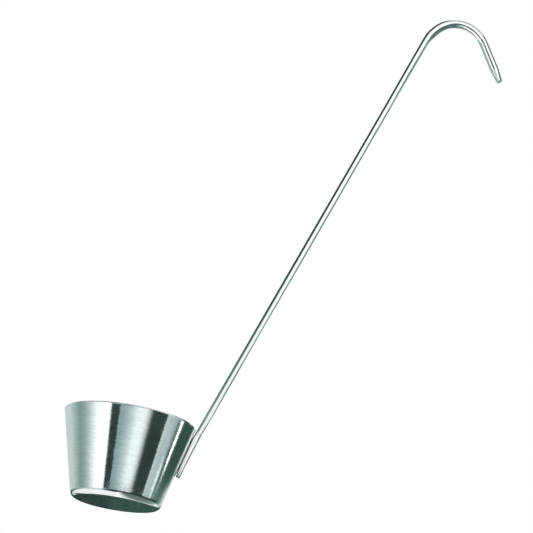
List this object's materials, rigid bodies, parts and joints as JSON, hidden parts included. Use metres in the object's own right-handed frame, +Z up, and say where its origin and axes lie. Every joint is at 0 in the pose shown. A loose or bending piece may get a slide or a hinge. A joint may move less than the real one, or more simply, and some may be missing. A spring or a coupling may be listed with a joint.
{
  "type": "syrup ladle",
  "caption": "Polished steel syrup ladle: a tapered flat-based cup with a long straight wire handle welded to its wall and bent into an open hook at the top.",
  "frame": {"origin": "centre of the cup's flat base, on its underside", "axes": "+Z up along the cup's axis; +X from the cup's axis towards the handle and its hook"},
  "size_m": [0.173, 0.0564, 0.2572],
  "materials": {
    "polished_sheet": "drawn stainless sheet, buffed nearly to a mirror",
    "polished_wire": "bright stainless wire",
    "weld_metal": "fused stainless, unpolished"
  },
  "bodies": {
    "root": {"cup": "polished_sheet", "handle": "polished_wire", "weld_nugget_upper": "weld_metal", "weld_nugget_lower": "weld_metal"}
  },
  "joints": []
}
